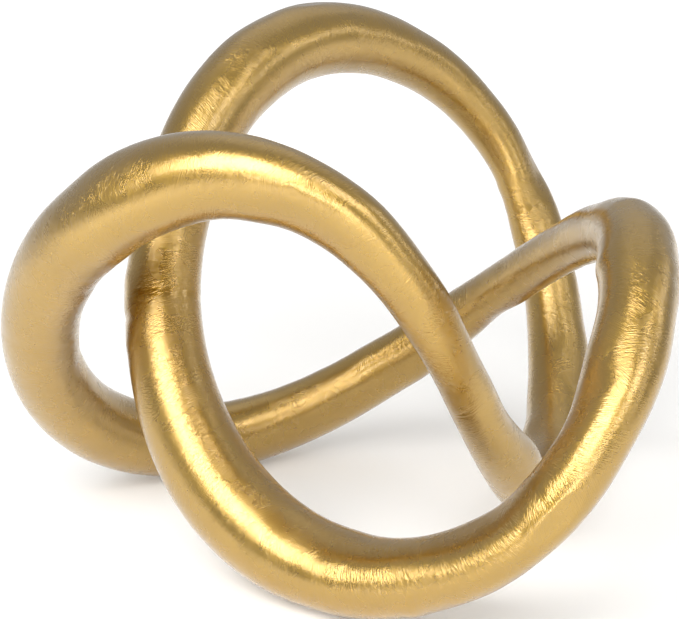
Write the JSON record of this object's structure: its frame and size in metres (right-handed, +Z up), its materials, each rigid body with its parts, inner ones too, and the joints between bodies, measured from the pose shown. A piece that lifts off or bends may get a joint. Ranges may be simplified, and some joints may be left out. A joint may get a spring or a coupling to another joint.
{
  "type": "metal knot sculpture",
  "caption": "Free-standing trefoil knot of thick tapering round tube, satin brushed gold metal, resting on three ground feet.",
  "frame": {"origin": "middle of the footprint box, on the plane of the three ground feet", "axes": "+X to the viewer's right in the picture, +Y away from the viewer, +Z up"},
  "size_m": [0.2331, 0.2429, 0.1821],
  "materials": {
    "gilt_casting": "gold lacquered, hand brushed satin",
    "bare_sleeve": "as extruded",
    "gilt_weld": "ground flush, gold lacquered, hand brushed satin"
  },
  "bodies": {
    "root": {"right_bottom_bend": "gilt_casting", "rear_top_bend": "gilt_casting", "front_bottom_bend": "gilt_casting", "right_top_bend": "gilt_casting", "left_bottom_bend": "gilt_casting", "left_top_bend": "gilt_casting", "sleeve_front_crossing": "bare_sleeve", "sleeve_rear_limb": "bare_sleeve", "sleeve_left_crossing": "bare_sleeve", "sleeve_right_limb": "bare_sleeve", "sleeve_rear_crossing": "bare_sleeve", "sleeve_left_limb": "bare_sleeve", "weld_front_crossing": "gilt_weld", "weld_rear_limb": "gilt_weld", "weld_left_crossing": "gilt_weld", "weld_right_limb": "gilt_weld", "weld_rear_crossing": "gilt_weld", "weld_left_limb": "gilt_weld"}
  },
  "joints": []
}
